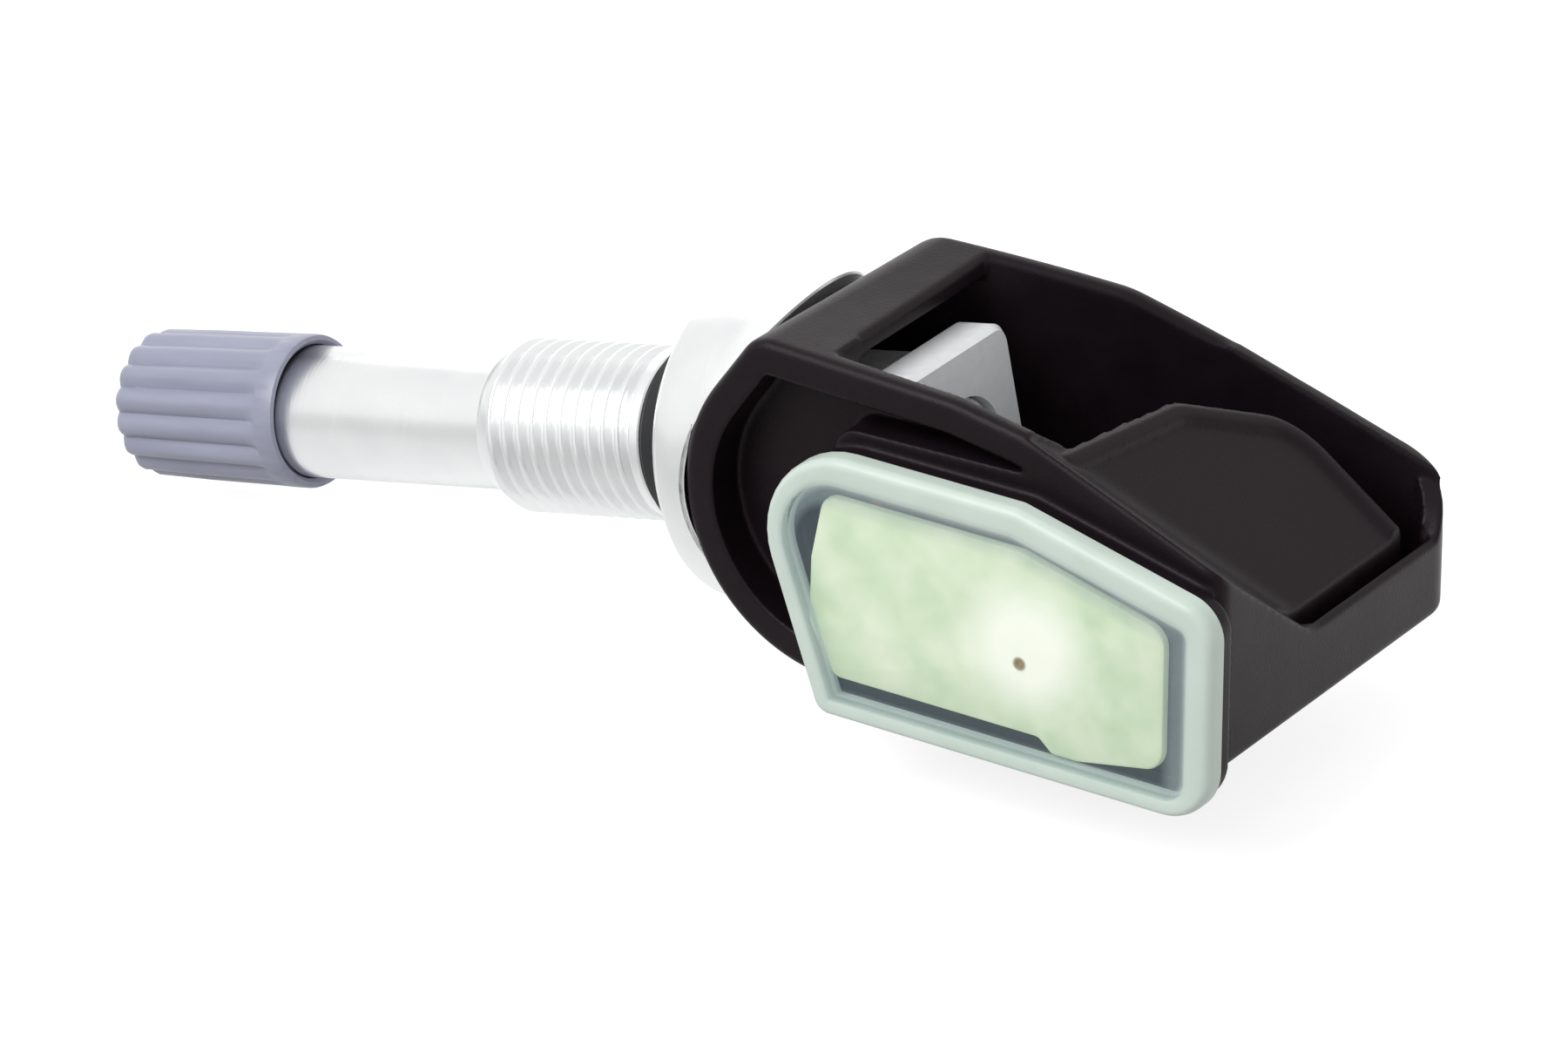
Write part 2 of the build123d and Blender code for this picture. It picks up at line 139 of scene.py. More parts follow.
room_fill = 0.62
room = bpy.data.worlds.new("white_room")
room.use_nodes = True
scene.world = room
canvas = Wire(room.node_tree)
glow = room_fill + (1 - room_fill) * seen_directly(canvas)
room_shader = room.node_tree.nodes["Background"]
room_shader.inputs["Color"].default_value = (1, 1, 1, 1)
glow.into(room_shader, "Strength")


def soft_lamp(name, place, aim, size, power):
    """Square soft box at a place, turned to its aim."""
    lamp = bpy.data.objects.new(name, bpy.data.lights.new(name, "AREA"))
    lamp.data.size = size
    lamp.data.energy = power
    lamp.location = place
    lamp.rotation_euler = (Vector(aim) - Vector(place)).to_track_quat("-Z", "Y").to_euler()
    scene.collection.objects.link(lamp)


bench_middle = (0.005, 0, 0)
soft_lamp("key_lamp", (-0.08, -0.42, 0.48), bench_middle, 0.40, 2.7)
soft_lamp("back_lamp", (-0.28, 0.45, 0.30), bench_middle, 0.50, 0.5)


# Valve stem: one turned aluminium piece. A rolled M10 x 1 rim thread runs up to the
# seal, the tip has the fine cap thread, and the collar is hollowed to seat the housing.
def tone(red, green, blue):
    """Colour as a picture shows it, 0 to 255, made linear."""
    shades = [value / 255 for value in (red, green, blue)]
    return [s / 12.92 if s <= 0.04045 else ((s + 0.055) / 1.055) ** 2.4 for s in shades] + [1]


def new_finish(name, **steady):
    """Material with one Principled shader. Steady values go straight on its sockets."""
    material = bpy.data.materials.new(name)
    material.use_nodes = True
    shader = material.node_tree.nodes["Principled BSDF"]
    for socket, value in steady.items():
        shader.inputs[socket.replace("_", " ")].default_value = value
    return material, shader, Wire(material.node_tree)


def own_place(canvas):
    """A surface point in the piece's own metres."""
    return canvas.add("ShaderNodeTexCoord", {}, {}, "Object")


def three_axes(canvas, place):
    """The three coordinates of a place, each as a wire."""
    axes = canvas.add("ShaderNodeSeparateXYZ", {}, {0: place})
    return [Wire(canvas.tree, socket) for socket in axes.socket.node.outputs]


def speckle(canvas, scale, detail=3.0, stretch=(1, 1, 1)):
    """Noise on the piece's own place, its features about 1/scale metres."""
    sockets = {"Vector": own_place(canvas), "Scale": stretch}
    place = canvas.add("ShaderNodeMapping", {}, sockets)
    return canvas.add("ShaderNodeTexNoise", {}, {"Vector": place, "Scale": scale, "Detail": detail})


def bumped(canvas, shader, height, depth):
    """Fine relief of a depth in metres on the shader's normal."""
    sockets = {"Height": height, "Strength": 1.0, "Distance": depth}
    canvas.add("ShaderNodeBump", {}, sockets).into(shader, "Normal")


def turned_rows(name, rows, segments):
    """Closed body about X. Each row gives x and radius at an angle, in mm."""
    mesh = bpy.data.meshes.new(name)
    points = []
    for row in rows:
        for step in range(segments):
            angle = 2 * math.pi * step / segments
            x, radius = row(angle)
            points.append((x * mm, radius * mm * math.cos(angle), radius * mm * math.sin(angle)))
    faces = []
    for this in range(len(rows)):
        after = (this + 1) % len(rows)
        for step in range(segments):
            turn = (step + 1) % segments
            corners = (this, step), (this, turn), (after, turn), (after, step)
            faces.append([ring * segments + spoke for ring, spoke in corners])
    mesh.from_pydata(points, [], faces)
    return mesh


def ring(x, radius):
    """Row of a plain turned profile."""
    return lambda angle: (x, radius)


def rings(start, end, radius, spacing):
    """Close rows along a plain length, for a pattern to be pressed into."""
    count = max(2, round((end - start) / spacing))
    return [ring(start + (end - start) * step / count, radius) for step in range(count + 1)]


def show(name, mesh, material, crease=32):
    """Object at the origin with one material, smooth up to an angle of crease degrees."""
    piece = bpy.data.objects.new(name, mesh)
    scene.collection.objects.link(piece)
    mesh.materials.clear()
    mesh.materials.append(material)
    mesh.shade_smooth()
    mesh.set_sharp_from_angle(angle=math.radians(crease))
    return piece


def outward(mesh):
    """Merge doubles, drop edges left without a face and turn every face outwards."""
    body = bmesh.new()
    body.from_mesh(mesh)
    bmesh.ops.remove_doubles(body, verts=body.verts, dist=1e-7)
    loose = [edge for edge in body.edges if not edge.link_faces]
    bmesh.ops.delete(body, geom=loose, context="EDGES")
    bmesh.ops.recalc_face_normals(body, faces=body.faces)
    body.to_mesh(mesh)
    body.free()
    return mesh


def rule_tree(name, sizes):
    """Geometry tree with named sizes. Gives the tree, its inputs as wires, and a canvas."""
    tree = bpy.data.node_groups.new(name, "GeometryNodeTree")
    tree.interface.new_socket("Geometry", in_out="INPUT", socket_type="NodeSocketGeometry")
    for size in sizes:
        tree.interface.new_socket(size, in_out="INPUT", socket_type="NodeSocketFloat")
    tree.interface.new_socket("Geometry", in_out="OUTPUT", socket_type="NodeSocketGeometry")
    entry = tree.nodes.new("NodeGroupInput")
    inputs = {socket.name: Wire(tree, socket) for socket in entry.outputs if socket.name}
    return tree, inputs, Wire(tree)


def close_tree(canvas, geometry, material):
    """End a tree with real geometry that carries its material."""
    geometry = canvas.add("GeometryNodeRealizeInstances", {}, {"Geometry": geometry})
    geometry = canvas.add(
        "GeometryNodeSetMaterial", {}, {"Geometry": geometry, "Material": material}
    )
    exit_node = canvas.tree.nodes.new("NodeGroupOutput")
    geometry.into(exit_node, 0)


def settle(piece):
    """Keep what the piece's modifiers make as its plain mesh."""
    made = piece.evaluated_get(bpy.context.evaluated_depsgraph_get())
    mesh = bpy.data.meshes.new_from_object(made)
    piece.modifiers.clear()
    piece.data = mesh


def apply_rule(piece, tree, **sizes):
    """Run a tree on a piece and keep its result as a plain mesh."""
    modifier = piece.modifiers.new(tree.name, "NODES")
    modifier.node_group = tree
    for socket in tree.interface.items_tree:
        if socket.in_out == "INPUT" and socket.name in sizes:
            modifier[socket.identifier] = float(sizes[socket.name])
    settle(piece)


# The turned length is bright, and the seat at the back of the collar is blasted matt.
matt_start = 8.2 * mm
matt_blend = 0.8 * mm
matt_share = 0.85
stem_metal, shader, canvas = new_finish("turned_aluminium", Specular_IOR_Level=0.5)
along = three_axes(canvas, own_place(canvas))[0]
matt = ((along - matt_start) / matt_blend).clamped()
(1 - matt_share * matt).into(shader, "Metallic")
turning = speckle(canvas, 5200, 2.0, (1, 0.04, 0.04))
cloud = speckle(canvas, 260)
cloud.mix(tone(230, 231, 232), tone(246, 247, 247)).into(shader, "Base Color")
(0.16 + 0.10 * turning + 0.08 * cloud).into(shader, "Roughness")
bumped(canvas, shader, turning, 0.004 * mm)

# Rolled thread as a rule: a groove that follows the angle along the axis, fading out
# at both ends
crest_share = 0.16
root_share = 0.22
thread_rule, sizes, canvas = rule_tree(
    "rolled_thread", ("Pitch", "Depth", "Start", "End", "Fade", "Inside")
)
along, side, lift = three_axes(canvas, canvas.add("GeometryNodeInputPosition", {}, {}))
turn = canvas.maths("ARCTAN2", lift, side) / (2 * math.pi)
phase = canvas.maths("FRACT", along / sizes["Pitch"] - turn)
from_root = canvas.maths("ABSOLUTE", 2 * phase - 1)
groove = ((1 - crest_share - from_root) / (1 - crest_share - root_share)).clamped()
fade_in = ((along - sizes["Start"]) / sizes["Fade"]).clamped()
fade_out = ((sizes["End"] - along) / sizes["Fade"]).clamped()
radius = canvas.maths("SQRT", side * side + lift * lift)
shrink = 1 - sizes["Depth"] * groove * fade_in * fade_out / radius
moved = canvas.add(
    "ShaderNodeCombineXYZ", {}, {"X": along, "Y": side * shrink, "Z": lift * shrink}
)
outer = canvas.maths("GREATER_THAN", radius, sizes["Inside"])
cut = canvas.add(
    "GeometryNodeSetPosition",
    {},
    {"Geometry": sizes["Geometry"], "Selection": outer, "Position": moved},
)
close_tree(canvas, cut, stem_metal)

# Tip with the cap thread: its mouth, its lead-in, and the small round at its foot as
# steps along and out
stem_tip = -36.3
tip_radius = 3.85
tip_face = 0.45
tip_lead_in = 0.4
tip_pitch = 0.794
tip_depth = 0.46
tip_inside = 3.2
tip_spacing = 0.066
tip_run_in = 0.3
tip_thread_end = -28.0
tip_foot = ((-0.3, 0), (-0.08, 0.06), (0, 0.2))
mouth_radius = 2.95
mouth_depth = 0.2

# Rim thread: the face of its first turn as steps along and in, and a fine chamfer at
# the seal's groove
thread_start = -12.0
thread_radius = 5.0
thread_face = ((0, 0.62), (0.05, 0.54))
thread_lead_in = 0.9
thread_pitch = 1.0
thread_depth = 0.58
thread_inside = 4.0
thread_spacing = 0.0625
thread_run_in = 0.2
thread_end = -0.55
thread_fade = 0.5
thread_chamfer = 0.1
groove_radius = 4.3

# Collar with its soft edges, and the hollow seat in its back
collar_front = 3.3
collar_front_radius = 9.0
collar_radius = 9.7
collar_chamfer = 0.8
collar_widest = 7.8
collar_back = 11.6
flank_start = collar_front + collar_chamfer
chamfer_radius = collar_front_radius - collar_chamfer
edge_soft = 0.1
edge_sag = 0.06
seat_radius = 10.16
seat_edge = 0.15
seat_steps = 9
bar_lean = math.radians(49.3)

# Bores: the clamp screw's from the back, the core's from the tip, and the air between
screw_bore = 2.5
screw_bore_end = 0.995
air_bore = 1.3
air_bore_back = 0.3
air_bore_front = -24.5
core_bore = 2.7
core_bore_end = -25.3
stem_segments = 96


def seat(radius, angle):
    """X of the collar's hollow back, which clears the housing's shell and its bar."""
    height = radius * math.sin(angle) - swivel_place.z / mm
    pivot = swivel_place.x / mm
    if height > seat_radius * math.cos(bar_lean):
        depth = (seat_radius - math.cos(bar_lean) * height) / math.sin(bar_lean)
    else:
        depth = math.sqrt(max(seat_radius**2 - height**2, 0))
    return min(collar_back, pivot - depth)


def collar_side(x):
    """Radius of the collar's flank, which widens towards the housing."""
    share = min(max((x - flank_start) / (collar_widest - flank_start), 0), 1)
    return collar_front_radius + (collar_radius - collar_front_radius) * share


def collar_row(x, inset=0.0):
    """Row on the flank, held back where the hollow seat comes first."""

    def row(angle):
        held = min(x, seat(collar_side(seat(collar_radius, angle)), angle) - inset)
        return held, collar_side(held)

    return row


def seat_row(share):
    """Row across the hollow seat, at a share of the way in from the flank."""

    def row(angle):
        edge = collar_side(seat(collar_radius, angle)) - seat_edge
        radius = edge + (screw_bore - edge) * share
        return seat(radius, angle), radius

    return row


stem_rows = [ring(stem_tip, mouth_radius), ring(stem_tip, tip_radius - tip_face)]
stem_rows += rings(stem_tip + tip_lead_in, tip_thread_end, tip_radius, tip_spacing)
stem_rows += [ring(thread_start + x, tip_radius + rise) for x, rise in tip_foot]
stem_rows += [ring(thread_start + x, thread_radius - drop) for x, drop in thread_face]
stem_rows += rings(thread_start + thread_lead_in, thread_end, thread_radius, thread_spacing)
stem_rows += [ring(-thread_chamfer, thread_radius), ring(0, thread_radius - thread_chamfer)]
stem_rows += [ring(0, groove_radius), ring(collar_front, groove_radius)]
stem_rows += [ring(collar_front, chamfer_radius - edge_soft)]
stem_rows += [ring(collar_front + edge_soft, chamfer_radius + edge_sag)]
stem_rows += [ring(flank_start - edge_soft, collar_front_radius - edge_sag)]
stem_rows += [collar_row(flank_start + past) for past in (edge_soft, 1.0, 2.0, 2.8)]
stem_rows += [collar_row(collar_widest - edge_soft, 2 * seat_edge)]
stem_rows += [collar_row(collar_back, seat_edge)]
stem_rows += [seat_row(step / seat_steps) for step in range(seat_steps + 1)]
stem_rows += [ring(screw_bore_end, screw_bore)]
stem_rows += [ring(air_bore_back, air_bore), ring(air_bore_front, air_bore)]
stem_rows += [ring(core_bore_end, core_bore), ring(stem_tip + mouth_depth, core_bore)]
stem_mesh = outward(turned_rows("turned_stem", stem_rows, stem_segments))
stem = show("turned_stem", stem_mesh, stem_metal)
apply_rule(
    stem,
    thread_rule,
    Pitch=thread_pitch * mm,
    Depth=thread_depth * mm,
    Start=(thread_start - thread_run_in) * mm,
    End=thread_end * mm,
    Fade=thread_fade * mm,
    Inside=thread_inside * mm,
)
apply_rule(
    stem,
    thread_rule,
    Pitch=tip_pitch * mm,
    Depth=tip_depth * mm,
    Start=(stem_tip - tip_run_in) * mm,
    End=tip_thread_end * mm,
    Fade=thread_fade * mm,
    Inside=tip_inside * mm,
)
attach(stem, "valve")
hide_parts("valve_stem")


# Stem seal: a black rubber ring pushed over the stem, squeezed between the rim and the
# collar. Dull, with a bloom of lighter grey.
def dress(material, *nodes):
    """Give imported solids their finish."""
    for node in nodes:
        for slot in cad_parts[node].material_slots:
            slot.material = material


rubber, shader, canvas = new_finish("seal_rubber", Specular_IOR_Level=0.35)
bloom = speckle(canvas, 900)
bloom.mix(tone(14, 14, 16), tone(34, 34, 37)).into(shader, "Base Color")
(0.48 + 0.2 * bloom).into(shader, "Roughness")
bumped(canvas, shader, speckle(canvas, 6000, 2.0), 0.01 * mm)
dress(rubber, "stem_seal")

# Valve core: a turned brass body screwed into the tip, with a rubber seal round it. A
# steel spring holds its pin up, and the rubber cup on the pin keeps the air in.
brass, shader, canvas = new_finish("core_brass", Metallic=1.0)
tarnish = speckle(canvas, 1400)
tarnish.mix(tone(196, 158, 84), tone(226, 196, 122)).into(shader, "Base Color")
(0.22 + 0.16 * tarnish).into(shader, "Roughness")
dress(brass, "core_body", "core_pin")
dress(rubber, "core_seal", "core_cup")

steel, shader, canvas = new_finish("plated_steel", Metallic=1.0)
haze = speckle(canvas, 1100)
haze.mix(tone(176, 178, 182), tone(206, 208, 210)).into(shader, "Base Color")
(0.2 + 0.18 * haze).into(shader, "Roughness")
dress(steel, "core_spring")

# Clamp block: a cast block in the housing's pocket. Its round back bears on the shell
# and the hollow screw draws it to the collar. Satin grey, faintly grained.
cast_metal, shader, canvas = new_finish("cast_block", Metallic=0.1)
grain = speckle(canvas, 1500, 4.0)
grain.mix(tone(234, 237, 240), tone(250, 251, 252)).into(shader, "Base Color")
(0.42 + 0.2 * grain).into(shader, "Roughness")
bumped(canvas, shader, speckle(canvas, 5200, 2.0), 0.012 * mm)
dress(cast_metal, "clamp_block", "clamp_screw")

# Housing: one moulding in black glass-filled nylon, with soft edges and a fine spark
# texture, faintly warm where the light grazes it. It swivels on the stem's collar until
# the block clamps it.
nylon, shader, canvas = new_finish(
    "housing_nylon", Specular_IOR_Level=0.16, Specular_Tint=(1.0, 0.92, 0.95, 1)
)
mottle = speckle(canvas, 420)
mottle.mix(tone(17, 11, 15), tone(28, 20, 25)).into(shader, "Base Color")
(0.34 + 0.14 * mottle).into(shader, "Roughness")
bumped(canvas, shader, speckle(canvas, 7000, 2.0), 0.014 * mm)

# The far wall's rim runs down round the far corner to the end wall, here as a curved
# strip of wall that melts into the moulding.
corner_middle = Vector((21.95, 14.08))
corner_radius = 2.78
corner_wall = 1.2
corner_turn = math.radians(66)
corner_top = -1.5
corner_fall = 2.9
corner_droop = 1.6
corner_foot = -6.0
corner_steps = 16
moulding = bmesh.new()
moulding.from_mesh(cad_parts["housing"].data)
strips = []
for step in range(corner_steps + 1):
    share = step / corner_steps
    angle = corner_turn * (1 - share)
    spoke = Vector((math.cos(angle), math.sin(angle)))
    top = corner_top - corner_fall * share**corner_droop
    strip = []
    for radius, height in (
        (corner_radius, top),
        (corner_radius, corner_foot),
        (corner_radius - corner_wall, corner_foot),
        (corner_radius - corner_wall, top),
    ):
        spot = corner_middle + spoke * radius
        strip.append(moulding.verts.new(housing_frame @ (Vector((spot.x, spot.y, height)) * mm)))
    strips.append(strip)
for before, after in zip(strips, strips[1:]):
    for side in range(4):
        turn = (side + 1) % 4
        moulding.faces.new((before[side], before[turn], after[turn], after[side]))
moulding.faces.new(strips[0])
moulding.faces.new(strips[-1])
moulded = bpy.data.meshes.new("moulded_housing")
moulding.to_mesh(moulded)
moulding.free()
housing = show("moulded_housing", outward(moulded), nylon, 180)
skin = housing.modifiers.new("skin", "REMESH")
skin.mode = "VOXEL"
skin.voxel_size = 0.13 * mm
skin.use_smooth_shade = True
soften = housing.modifiers.new("soften", "SMOOTH")
soften.factor = 0.5
soften.iterations = 10
lighten = housing.modifiers.new("lighten", "DECIMATE")
lighten.ratio = 0.2
settle(housing)
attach(housing, "sensor")
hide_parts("housing")


# Circuit board: laminate under a skin of yellow-green potting, laid in the cover's tray.
# Its foot has a step. The potting has a painted glow in its own colour, painted near white
# over the pressure port, and painted shade darkens the port's hole.
def rounded(corners, inset, steps=12, least=0.15):
    """Outline with round corners, drawn in by inset times each side's own share."""
    outline = []
    for index, (x, z, radius, share) in enumerate(corners):
        corner = Vector((x, z))
        last = corners[index - 1]
        after = corners[(index + 1) % len(corners)]
        came = (corner - Vector(last[:2])).normalized()
        goes = (Vector(after[:2]) - corner).normalized()
        in_came = Vector((came.y, -came.x))
        in_goes = Vector((goes.y, -goes.x))
        alike = in_came.dot(in_goes)
        pulls = (inset * last[3], inset * share)
        spread = 1 - alike * alike
        corner += in_came * (pulls[0] - alike * pulls[1]) / spread
        corner += in_goes * (pulls[1] - alike * pulls[0]) / spread
        bend = came.angle_signed(goes)
        arc = max(radius - inset if bend > 0 else radius + inset, least)
        reach = arc * math.tan(abs(bend) / 2)
        inward = in_came if bend > 0 else -in_came
        middle = corner - came * reach + inward * arc
        for step in range(steps + 1):
            spoke = -inward
            spoke.rotate(Matrix.Rotation(-bend * step / steps, 2))
            outline.append(middle + spoke * arc)
    return outline


def about(x, z, radius, outline):
    """Circle with one spot in the direction of each spot of an outline."""
    middle = Vector((x, z))
    return [middle + (spot - middle).normalized() * radius for spot in outline]


def stacked(name, layers, marks=None, pierced=False):
    """Body of outlines in X and Z at given depths Y, in the housing's frame. It is closed
    at both ends on their middle, or, when pierced, from its last outline to its first.
    Marks are kept on the points as how much rim they are."""
    mesh = bpy.data.meshes.new(name)
    count = len(layers[0][0])
    points = []
    for outline, depth in layers:
        points += [Vector((spot.x, depth, spot.y)) for spot in outline]
    faces = []
    for layer in range(len(layers) if pierced else len(layers) - 1):
        after = (layer + 1) % len(layers)
        for spot in range(count):
            turn = (spot + 1) % count
            corners = (layer, spot), (layer, turn), (after, turn), (after, spot)
            faces.append([row * count + column for row, column in corners])
    if not pierced:
        faces.append(list(range(count)))
        faces.append(list(range((len(layers) - 1) * count, len(layers) * count)))
    mesh.from_pydata([housing_frame @ (point * mm) for point in points], [], faces)
    if marks:
        values = [mark for mark in marks for spot in range(count)]
        mesh.attributes.new("rim", "FLOAT", "POINT").data.foreach_set("value", values)
    return mesh


def near_spot(canvas, x, y, z, reach):
    """1 at a point of the housing's frame, falling to 0 at its reach, all in mm."""
    spot = housing_frame @ (Vector((x, y, z)) * mm)
    sockets = {0: own_place(canvas), 1: spot}
    away = canvas.add("ShaderNodeVectorMath", {"operation": "DISTANCE"}, sockets, "Value")
    return (1 - away / (reach * mm)).clamped()


port_x = 13.3
port_z = -4.4
port_radius = 0.25
port_depth = 0.15
# Reach in mm of the painted shade in the pressure port's hole.
port_shade_reach = 0.55
# Reach in mm of the painted glow round the pressure port.
glow_reach = 4.8
tray_floor = -11.3
tray_clear = 0.02
# The potting's emission is a painted glow in its own colour: the board is no lamp.
laminate, shader, canvas = new_finish(
    "potted_board", Specular_IOR_Level=0.5, Emission_Strength=0.25
)
cloudy = speckle(canvas, 340, 2.0)
potting = (1.6 * cloudy - 0.3).clamped().mix(tone(192, 215, 172), tone(236, 243, 214))
# Painted glow: the potting is painted near white round the pressure port.
painted_port_glow = near_spot(canvas, port_x + 0.4, tray_floor, port_z + 1.0, glow_reach)
potting = (1.7 * painted_port_glow).clamped().mix(potting, tone(254, 255, 238))
# Painted shade: the pressure port's hole is painted dark brown.
port_hole_shade = near_spot(canvas, port_x, tray_floor + 0.3, port_z, port_shade_reach)
potting = (4.0 * port_hole_shade).clamped().mix(potting, tone(150, 124, 76))
potting.into(shader, "Base Color")
potting.into(shader, "Emission Color")
(0.30 + 0.15 * cloudy).into(shader, "Roughness")

# Corners of the board: X, Z and radius
board_outline = (
    (-0.5, -5.6, 1.0),
    (-0.4, -1.6, 1.0),
    (0.4, 2.4, 1.2),
    (13.3, 2.4, 2.0),
    (22.5, 0.0, 1.4),
    (22.5, -8.4, 1.4),
    (17.0, -9.4, 0.8),
    (15.4, -9.4, 0.5),
    (14.5, -8.6, 0.5),
    (1.2, -8.6, 0.8),
)
board_corners = [(x, z, radius, 1) for x, z, radius in board_outline]
board_edge = 0.25
board_thickness = 0.5
board_layers = [
    (rounded(board_corners, 0), tray_floor + board_thickness),
    (rounded(board_corners, 0), tray_floor + board_edge),
    (rounded(board_corners, 0.08), tray_floor + 0.1),
    (rounded(board_corners, board_edge), tray_floor + tray_clear),
]
for radius, depth in (
    (3 * port_radius, tray_clear),
    (port_radius, tray_clear),
    (0.9 * port_radius, port_depth),
):
    board_layers.append((about(port_x, port_z, radius, board_layers[0][0]), tray_floor + depth))
board = show("potted_board", outward(stacked("potted_board", board_layers)), laminate)
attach(board, "sensor")
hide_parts("circuit_board")

# Parts on the back of the board: moulded chips, the coil on its ferrite, the crystal's
# can, fired capacitors and a copper antenna, all soldered on, and a steel battery that
# hangs on its tinned tabs.
chip, shader, canvas = new_finish("chip_resin")
dust = speckle(canvas, 2600)
dust.mix(tone(26, 26, 29), tone(48, 48, 52)).into(shader, "Base Color")
(0.45 + 0.2 * dust).into(shader, "Roughness")
dress(chip, "pressure_sensor", "transmitter_chip", "coil_core")
dress(steel, "battery", "crystal")

copper, shader, canvas = new_finish("copper_wire", Metallic=1.0)
flow = speckle(canvas, 2200)
flow.mix(tone(184, 112, 76), tone(218, 150, 108)).into(shader, "Base Color")
(0.25 + 0.2 * flow).into(shader, "Roughness")
dress(copper, "coil_winding", "antenna")

tinned, shader, canvas = new_finish("tinned_strip", Metallic=1.0)
dull = speckle(canvas, 1800)
dull.mix(tone(188, 188, 182), tone(214, 214, 208)).into(shader, "Base Color")
(0.3 + 0.15 * dull).into(shader, "Roughness")
dress(tinned, "battery_tab_plus", "battery_tab_minus")

ceramic, shader, canvas = new_finish("fired_ceramic")
fired = speckle(canvas, 3000)
fired.mix(tone(150, 118, 84), tone(186, 154, 116)).into(shader, "Base Color")
(0.4 + 0.2 * fired).into(shader, "Roughness")
dress(ceramic, "capacitors")

# Cover: a tray of milky resin, pale green, welded over the bay. Its thick rim is nearly
# opaque and its thin face lets the board show through. The resin has a faint painted glow
# in its own colour, standing in for light scattered inside it.
cover_face = -12.0
cover_back = -10.7
cover_rim = 1.7
rim_foot = 0.5
edge_round = 0.6
edge_steps = 5
face_step = 0.13
tray_under = tray_floor - tray_clear

# Corners of the cover: X, Z, radius, and how much of an inset the side after it takes
cover_corners = (
    (-5.2, 5.1, 5.3, 1),
    (13.2, 5.1, 1.5, 1),
    (25.88, 2.0, 2.4, 1),
    (25.88, -10.7, 3.0, 0.62),
    (0.5, -10.7, 1.2, 0.7),
)
cover_edge = rounded(cover_corners, 0)
cover_layers = [(about(port_x, port_z, port_radius, cover_edge), tray_under, 0)]
cover_layers += [(rounded(cover_corners, cover_rim + rim_foot), tray_under, 0)]
cover_layers += [(rounded(cover_corners, cover_rim), tray_under, 1)]
cover_layers += [(rounded(cover_corners, cover_rim), cover_back, 1)]
cover_layers += [(cover_edge, cover_back, 1)]
for step in range(edge_steps + 1):
    lean = math.pi / 2 * step / edge_steps
    drawn = edge_round * (1 - math.cos(lean))
    sunk = edge_round * (1 - math.sin(lean))
    cover_layers.append((rounded(cover_corners, drawn), cover_face + sunk, 1))

# Steps from the rim down to the thin face: past the rim, how deep, and how much rim
for past, sunk, mark in (
    (-0.45, 0, 1),
    (-0.15, 0.03, 0.9),
    (0.05, 0.1, 0.5),
    (0.3, face_step, 0.34),
    (0.8, face_step, 0.28),
    (1.5, face_step, 0),
):
    cover_layers.append((rounded(cover_corners, cover_rim + past), cover_face + sunk, mark))
for radius, sunk in (
    (3 * port_radius, face_step),
    (1.2 * port_radius, face_step),
    (port_radius, 0.2),
):
    cover_layers.append((about(port_x, port_z, radius, cover_edge), cover_face + sunk, 0))
marks = [mark for outline, depth, mark in cover_layers]
cover_layers = [layer[:2] for layer in cover_layers]

# The resin's emission, fed its own colour below, is a painted glow: the cover is no lamp.
milk, shader, canvas = new_finish(
    "milky_resin", Specular_IOR_Level=0.45, Roughness=0.34, Emission_Strength=0.12
)
veil = speckle(canvas, 300, 2.0)
rim = canvas.add("ShaderNodeAttribute", {"attribute_name": "rim"}, {}, "Fac")
thick = veil.mix(tone(190, 205, 195), tone(208, 220, 211))
thin = veil.mix(tone(150, 172, 186), tone(176, 194, 200))
resin = rim.mix(thin, thick)
resin.into(shader, "Base Color")
resin.into(shader, "Emission Color")
(0.10 + 0.86 * rim).into(shader, "Alpha")
cover = show("milky_cover", outward(stacked("milky_cover", cover_layers, marks, True)), milk)
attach(cover, "sensor")
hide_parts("cover")

# Valve cap: moulded in grey-blue plastic, fluted for the fingers above a plain band. It
# screws on the tip's fine thread, with a rubber seal in its closed end.
cap_plastic, shader, canvas = new_finish("cap_plastic", Specular_IOR_Level=0.6)
streak = speckle(canvas, 900, 3.0, (0.15, 1, 1))
streak.mix(tone(134, 136, 157), tone(164, 167, 185)).into(shader, "Base Color")
(0.30 + 0.16 * streak).into(shader, "Roughness")

cap_end = -38.7
cap_rim = -26.7
cap_radius = 4.5
cap_bore = 3.93
cap_band = 1.3
cap_top = 1.4
rim_round = 0.25
rim_sag = 0.07
lobes = 16
lobe_segments = 16


def lobed(past, radius, flute):
    """Row of the cap past its closed end, with lobes over flutes of a depth."""
    return lambda angle: (
        cap_end + past,
        radius - flute * (1 - abs(math.cos(lobes / 2 * angle))),
    )


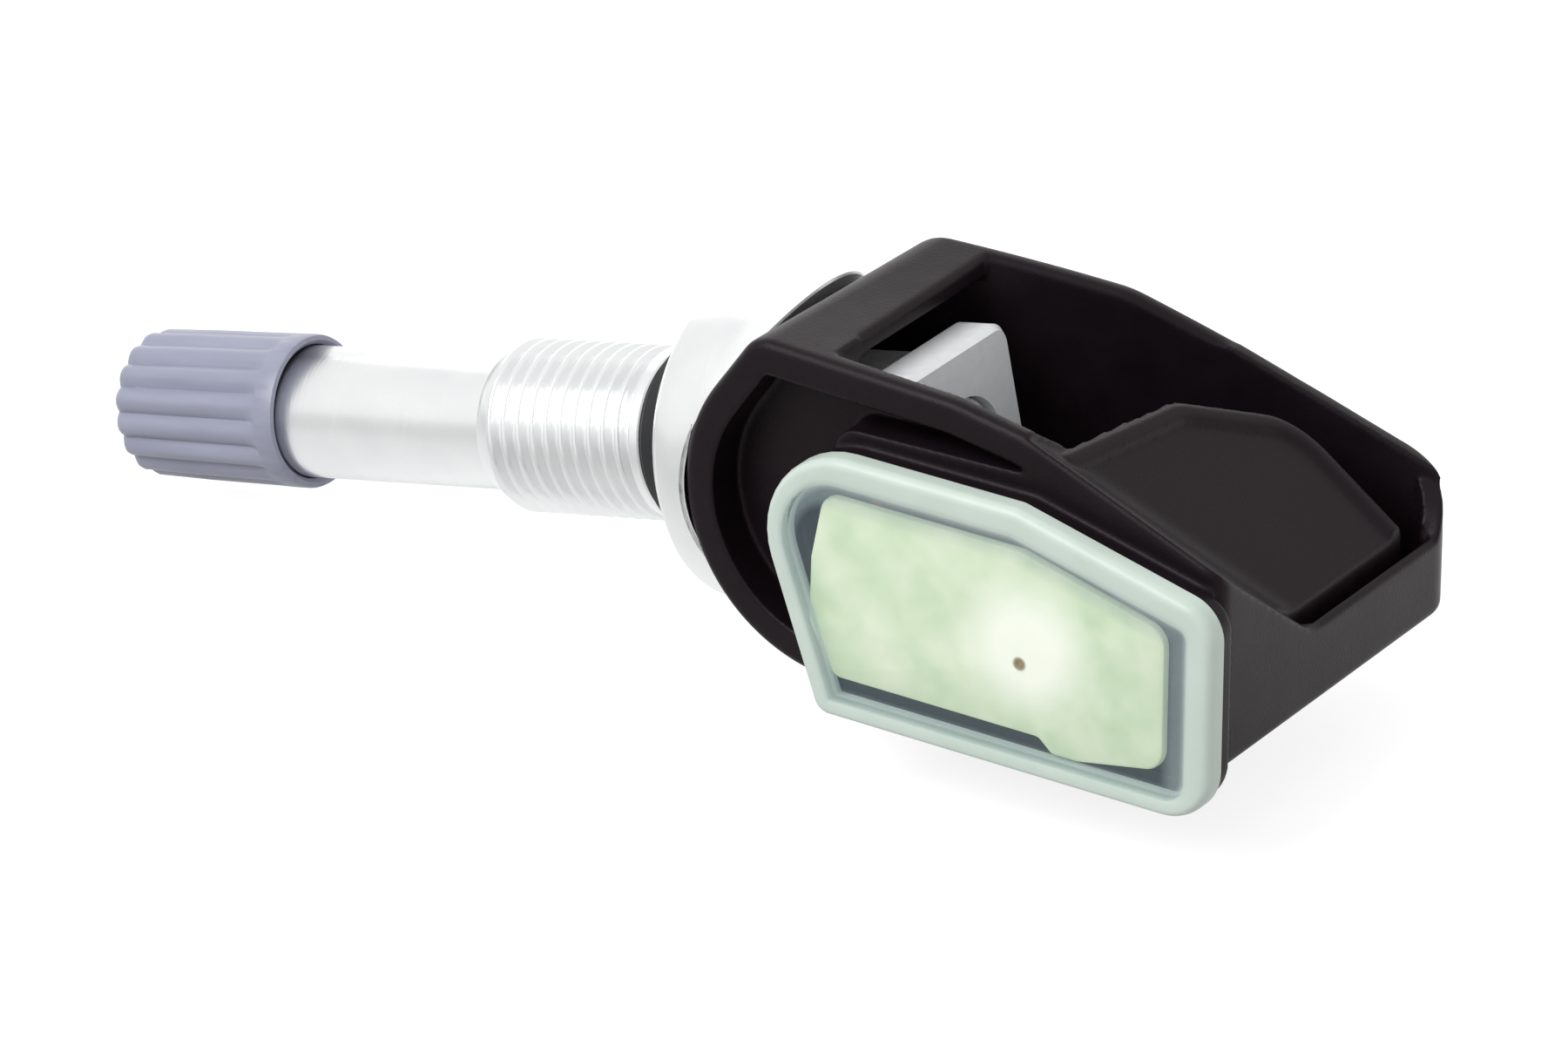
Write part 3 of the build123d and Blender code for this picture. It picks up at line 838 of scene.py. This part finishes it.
# Rows of the lobes: past the closed end, then back from the band, each with its radius
# and the depth of its flutes
grip = cap_rim - cap_band - cap_end
crown = ((0, 3.75, 0.25), (0.07, 3.98, 0.32), (0.25, 4.18, 0.38), (0.6, 4.30, 0.42))
waist = (0.4 * grip, 4.40, 0.42)
run_out = ((0.9, 4.47, 0.38), (0.35, 4.49, 0.26), (0.05, cap_radius, 0.06))
cap_rows = [ring(cap_end, 0)]
cap_rows += [lobed(*row) for row in (*crown, waist)]
cap_rows += [lobed(grip - back, radius, flute) for back, radius, flute in run_out]
cap_rows += [ring(cap_end + grip, cap_radius), ring(cap_rim - rim_round, cap_radius)]
cap_rows += [ring(cap_rim - rim_sag, cap_radius - rim_sag), ring(cap_rim, cap_radius - rim_round)]
cap_rows += [ring(cap_rim, cap_bore + rim_round), ring(cap_rim - rim_round, cap_bore)]
cap_rows += [ring(cap_end + cap_top, cap_bore), ring(cap_end + cap_top, 0)]
cap_mesh = outward(turned_rows("fluted_cap", cap_rows, lobe_segments * lobes))
cap = show("fluted_cap", cap_mesh, cap_plastic)
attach(cap, "cap")
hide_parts("valve_cap")
dress(rubber, "cap_seal")

# Bench: a white sheet under the sensor. It lies low enough for the cap when it is wound
# off and for the cover's foot when the housing is swung right down.
cap_foot = Vector((-45.9, 0, -4.6)) * mm
cover_foot = Vector((36.3, 0, -19.8)) * mm
rest_slope = math.atan2(cap_foot.z - cover_foot.z, cover_foot.x - cap_foot.x)
bench_half = 2.0
lens_share = 0.82
near_mirror = 0.25
mirror_blend = 60 * mm

bench_mesh = bpy.data.meshes.new("bench")
corners = [
    Vector((-bench_half, -bench_half, 0)),
    Vector((bench_half, -bench_half, 0)),
    Vector((bench_half, bench_half, 0)),
    Vector((-bench_half, bench_half, 0)),
]
bench_place = Matrix.Translation(cover_foot) @ Matrix.Rotation(rest_slope, 4, "Y")
bench_mesh.from_pydata([bench_place @ corner for corner in corners], [], [(0, 1, 2, 3)])

paper, shader, canvas = new_finish(
    "white_paper", Roughness=0.9, Specular_IOR_Level=0.1, Emission_Strength=1.0
)
fibre = speckle(canvas, 40)
fibre.mix(tone(164, 164, 164), tone(174, 174, 174)).into(shader, "Base Color")
across = three_axes(canvas, own_place(canvas))[1]
behind = (across / mirror_blend + 0.5).clamped()
in_metal = near_mirror + (1 - near_mirror) * behind
seen_directly(canvas, lens_share, in_metal).into(shader, "Emission Color")
bench = show("bench", bench_mesh, paper)
